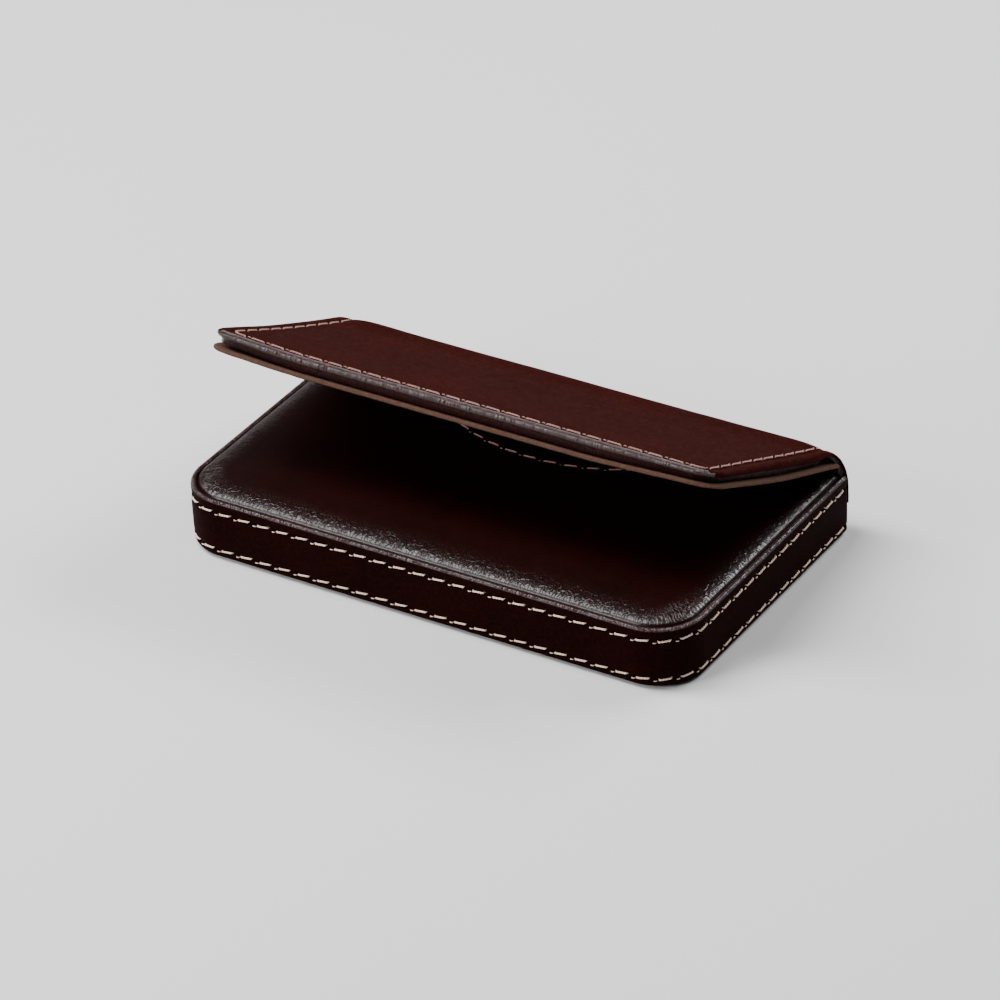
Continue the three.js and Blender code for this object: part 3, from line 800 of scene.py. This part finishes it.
SHELL = 2.5  # thickness of the flap's outer leather with its board
SKIN = 0.3  # points higher than this below the outer face are on it
CREASE_INSET = 2.4  # where the flap's rolled edge ends
FLAP_TOP = 0.03
recess = [(FLAP_CORNER, -SHELL), (3.0, -SHELL), (1.25, -SHELL), (1.0, 0.05 - SHELL), (0.98, -1.46)]
rolled_edge = [
    (0.8, -1.37), (0.5, -1.31), (0.24, -1.15), (0.07, -0.92), (0.0, -0.66), (0.04, -0.42), (0.17, -0.23),
    (0.4, -0.1), (0.75, -0.02), (1.2, 0.0), (1.6, -0.02), (2.0, -0.09), (2.25, -0.2), (CREASE_INSET, -0.32),
]
stitch_dip = [
    (2.52, -0.24), (2.7, -0.15), (2.85, -0.12), (3.05, -0.12), (3.3, -0.05), (3.6, 0.0), (4.1, 0.02),
]
flap_rings = recess + rolled_edge + stitch_dip + [(FLAP_CORNER, FLAP_TOP)]


def edge_height(x, s):
    """The flap's edge is pressed thinner towards its two front corners."""
    near_side = 0.3 * (1 - smooth((FLAP_HALF - x) / 26)) + 0.2 * (1 - smooth((FLAP_HALF + x) / 20))
    return 1 - near_side * (1 - smooth(s / 30))


flat, faces = rounded_sheet(FLAP_HALF, 0.0, s_split, FLAP_CORNER, flap_rings, FLAP_TOP, -SHELL, step=0.6)
x, s, h, inset = flat.T
outer_face = h > -SKIN
on_top = outer_face & (inset > 0.3)

# the turned edge thins where the board ends, to 1 mm in all
thin = smooth((s - (line_s[i_bend] - 4)) / 5)
h_thin = np.where(h < -SKIN, -SKIN + (h + SKIN) * (0.7 / (SHELL - SKIN)), h)
h = h * (1 - thin) + h_thin * thin
h = np.where(h < 0, h * edge_height(x, s), h)

# the leather stands up a little over the bend, most of all near its ends, and ripples slightly
from_fold = FLAP_LENGTH - s
bulge = (0.35 + 0.1 * np.exp(-(((np.abs(x) - 41) / 7) ** 2))) * smooth((FLAP_HALF - np.abs(x)) / 7)
h = h + np.where(outer_face, bulge * smooth((13 - from_fold) / 9) * smooth((from_fold + 4) / 4), 0)
ripple = 0.03 * value_noise(x / 9, s / 9, 21) + 0.015 * value_noise(x / 3.1, s / 3.1, 22)
h = h + np.where(on_top, ripple, 0)


def seam_data(inset_mm, s_end):
    """The stitch line round a sheet's edge: x, s points and the distance along."""
    half = FLAP_HALF - inset_mm
    r = FLAP_CORNER - inset_mm
    side = np.arange(s_end, FLAP_CORNER, -0.4)
    arc = np.linspace(0, math.pi / 2, 8)
    points = [(-half, v) for v in side]
    points += [(-half + r - r * math.cos(a), FLAP_CORNER - r * math.sin(a)) for a in arc]
    points += [(v, inset_mm) for v in spaced(-half + r, half - r, 0.5)[1:-1]]
    points += [(half - r + r * math.sin(a), FLAP_CORNER - r * math.cos(a)) for a in arc]
    points += [(half, v) for v in side[::-1]]
    return np.array(points), distances(points)


# each needle hole makes a small dent
seam_flat, seam_d = seam_data(SEAM_INSET, line_s[i_lower] - 1.0)
at_flat = along(seam_flat, seam_d)
flap_starts = stitch_starts(seam_d[-1], 0.3, FLAP_STITCH_LENGTH)
hole_xy = at_flat(np.concatenate([flap_starts, flap_starts + FLAP_STITCH_LENGTH]))
near_seam = np.where(on_top & (inset < 4.6))[0]
gap = np.sqrt(((flat[near_seam, None, :2] - hole_xy[None]) ** 2).sum(-1)).min(1)
h[near_seam] -= 0.16 * np.exp(-((gap / 0.45) ** 2))

# glossier leather along the rolled front edge and below it
edge_part = (s < CREASE_INSET + 0.01) | (flat[:, 2] < -1.2)
on_edge = [int(all(edge_part[list(f)])) for f in faces]
edge_mm = np.stack([x + s - inset, np.clip(inset, 0.7, 3), 0 * s], -1)
flap_skin = add_mesh(
    "flap_leather_cover",
    place(x, s, h),
    faces,
    [FLAP_LEATHER, EDGE_LEATHER],
    attributes={"seam_mm": edge_mm},
    material_of=on_edge,
)
weld_and_face_out(flap_skin)

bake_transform(flap_skin)
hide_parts("flap_cover", "upper_fold", "spine_leather", "flap_board", "flap_magnet")


def seam_at(s):
    q = at_flat(s)
    return place(q[:, 0], q[:, 1], np.full(len(q), -0.04))


def seam_up(s):
    q = at_flat(s)
    return place(q[:, 0], q[:, 1], np.ones(len(q))) - place(q[:, 0], q[:, 1], np.zeros(len(q)))


def seam_side(s):
    t = seam_at(s + 0.05) - seam_at(s - 0.05)
    t /= np.linalg.norm(t, axis=1, keepdims=True)
    return np.cross(t, seam_up(s))


flap_seam = stitch_mesh(
    "flap_stitches",
    [(a, a + FLAP_STITCH_LENGTH) for a in flap_starts],
    seam_at,
    seam_up,
    seam_side,
    ROSE_THREAD,
    None,
    radius=0.12,
    lift=0.04,
    slant=0.1,
)
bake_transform(flap_seam)
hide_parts("flap_stitching", "spine_stitching_left", "spine_stitching_right")

# lower half of the spine and the bottom, measured from the box's front
LOWER_THICK = 0.95
lower_rings = [(r, -LOWER_THICK) for r in (CORNER, 5.0, 1.0)]
lower_rings += [(0.3, -0.85), (0.06, -0.65), (0.0, -0.45), (0.06, -0.2), (0.3, -0.04)]
lower_rings += [(r, 0.0) for r in (0.7, 1.5, 4.0, CORNER)]
flat, faces = rounded_sheet(
    LOWER_HALF, 0.0, sheet_length - s_split, CORNER, lower_rings, 0.0, -LOWER_THICK, step=0.7
)
lower_places = place(flat[:, 0], sheet_length - flat[:, 1], flat[:, 2])
lower_skin = add_mesh("spine_and_bottom_leather", lower_places, faces, FLAP_LEATHER)
weld_and_face_out(lower_skin)
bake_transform(lower_skin)
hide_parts("bottom_cover", "lower_fold")

# ------------------------------------------------------------------ flap lining with its raw tan edge
LINING_TOP, LINING_THICK = -SHELL - 0.22, 0.78
LINING_OVERHANG = 0.35
LINING_FROM_FOLD = 3.0
lining_rings = [(r, -LINING_THICK) for r in (FLAP_CORNER, 2.5, 0.6)]
lining_rings += [(0.22, 0.06 - LINING_THICK), (0.05, 0.22 - LINING_THICK), (0.0, 0.45 - LINING_THICK)]
lining_rings += [(0.02, -0.4), (0.1, -0.16), (0.3, -0.03)]
lining_rings += [(r, 0.0) for r in (0.7, 2.0, FLAP_CORNER)]
lining_half, lining_end = FLAP_HALF + LINING_OVERHANG, FLAP_LENGTH - LINING_FROM_FOLD
flat, faces = rounded_sheet(lining_half, 0.1, lining_end, FLAP_CORNER, lining_rings, 0.0, -LINING_THICK)
x, s, h, inset = flat.T
h = h + LINING_TOP * edge_height(x, s)
d = FLAP_LENGTH - s
h = h + 0.035 * value_noise((x + s * 1.7) / 0.9, h / 0.5, 31) * (inset < 0.5)  # its edge is rough
places = FOLD + d[:, None] * forward + (FLAP_RISE + board_sag(d) + h)[:, None] * flap_out
lining = add_mesh("flap_lining_sheet", np.column_stack([x, places]), faces, [INNER_LEATHER, TAN_EDGE])
weld_and_face_out(lining)
down = np.array([0, -flap_out[0], -flap_out[1]])
slots = [0 if np.dot(np.array(p.normal), down) > 0.9 else 1 for p in lining.data.polygons]
lining.data.polygons.foreach_set("material_index", np.array(slots, np.int32))
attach(lining, "flap")
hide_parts("flap_lining")

# ------------------------------------------------------------------ inner leather over the two folds
def inner_sheet(name, s_values, top, bottom, wrinkle=0.0):
    """A closed sheet inside the outer leather, between two heights that count down from its outer face."""
    xs = spaced(-47.5, 47.5, 0.8)
    gx, gs = (g.ravel() for g in np.meshgrid(xs, s_values, indexing="ij"))
    rows, cols = len(xs), len(s_values)
    count = rows * cols
    uneven = wrinkle * value_noise(gx / 4, gs / 2, 41)
    verts = np.vstack([place(gx, gs, np.full(count, top)), place(gx, gs, bottom + uneven)])
    faces = list(grid_faces(rows, cols)) + list(grid_faces(rows, cols, count, flip=True))
    ids = np.array([r * cols + c for r, c in walk_border(rows, cols)][::-1])
    following = np.roll(ids, -1)
    faces += list(np.stack([ids, following, following + count, ids + count], -1))
    sheet = add_mesh(name, verts, faces, INNER_LEATHER)
    weld_and_face_out(sheet)
    return sheet


# inner face of the spine, soft across the upper fold
spine_s = spaced(line_s[i_bend] - 6.0, line_s[i_lower] - 0.4, 0.4)
spine_inner = inner_sheet("spine_inner_leather", spine_s, -1.12, -1.45, wrinkle=0.03)
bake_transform(spine_inner)
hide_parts("spine_lining")

# the same leather goes on over the lower fold and under the box's floor
fold_s = spaced(line_s[i_lower] - 1.4, line_s[i_bottom] + 0.6, 0.3)
fold_inner = inner_sheet("lower_fold_inner_leather", fold_s, -1.0, -1.3)
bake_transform(fold_inner)

# ------------------------------------------------------------------ carried-over pieces
for name, material in (
    ("bottom_board", BOARD),
    ("floor_lining", LINING),
    ("side_frame", LINING),
    ("ceiling_lining", LINING),
    ("top_board", BOARD),
    ("box_magnet", MAGNET),
    ("top_foam", FOAM),
):
    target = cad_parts[name]
    if not target.material_slots:
        target.data.materials.append(material)
    for k in range(len(target.material_slots)):
        target.material_slots[k].link = "OBJECT"
        target.material_slots[k].material = material

# ------------------------------------------------------------------ floor, light and camera
FLOOR_HALF = 3.0  # metres, as are the lights' places and sizes
FLOOR_Z = -0.0001
floor_mesh = bpy.data.meshes.new("floor")
corners = [(x * FLOOR_HALF, y * FLOOR_HALF, FLOOR_Z) for x, y in ((-1, -1), (1, -1), (1, 1), (-1, 1))]
floor_mesh.from_pydata(corners, [], [(0, 1, 2, 3)])
floor = bpy.data.objects.new("floor", floor_mesh)
bpy.context.scene.collection.objects.link(floor)
floor_material, _, floor_bsdf = nodes_of("floor_pale")
floor_bsdf.inputs["Base Color"].default_value = (0.56, 0.56, 0.56, 1)
floor_bsdf.inputs["Roughness"].default_value = 0.9
floor_bsdf.inputs["Specular IOR Level"].default_value = 0.15
floor_mesh.materials.append(floor_material)

world = bpy.data.worlds.new("studio")
bpy.context.scene.world = world
world.use_nodes = True
background = world.node_tree.nodes["Background"]
background.inputs["Color"].default_value = (0.9, 0.95, 1.0, 1)
background.inputs["Strength"].default_value = 0.09


def softbox(name, place_m, width, height, power):
    """A rectangular light that points at the middle of the box."""
    data = bpy.data.lights.new(name, "AREA")
    data.shape = "RECTANGLE"
    data.size, data.size_y = width, height
    data.energy = power
    light = bpy.data.objects.new(name, data)
    light.location = place_m
    light.rotation_mode = "QUATERNION"
    light.rotation_quaternion = (-Vector(place_m)).to_track_quat("-Z", "Y")
    bpy.context.scene.collection.objects.link(light)


softbox("softbox_top", (-0.37, -0.11, 0.70), 0.26, 0.72, 14.0)
softbox("softbox_rear_right", (0.27, 0.57, 0.53), 0.46, 0.18, 8.0)
softbox("softbox_front", (-0.37, -0.62, 0.34), 0.22, 0.40, 5.5)

# the camera looks from the front right, at the photograph's angle
AZIMUTH, ELEVATION, ROLL = np.radians([32.70, 31.83, -2.45])
DISTANCE, LENS = 943.8, 195.96
AIM = (-8.15, 9.22, 0.0)
run = math.cos(ELEVATION)
back = Vector((math.sin(AZIMUTH) * run, -math.cos(AZIMUTH) * run, math.sin(ELEVATION)))
right = Vector((math.cos(AZIMUTH), math.sin(AZIMUTH), 0))
up = back.cross(right)
right, up = right * math.cos(ROLL) + up * math.sin(ROLL), up * math.cos(ROLL) - right * math.sin(ROLL)
camera_data = bpy.data.cameras.new("camera")
camera_data.lens = LENS
camera_data.sensor_width = 36.0
camera_data.clip_start, camera_data.clip_end = 0.01, 20.0
camera = bpy.data.objects.new("camera", camera_data)
matrix = Matrix((right, up, back)).transposed().to_4x4()
matrix.translation = Vector(AIM) * MM + back * (DISTANCE * MM)
camera.matrix_world = matrix
bpy.context.scene.collection.objects.link(camera)
bpy.context.scene.camera = camera
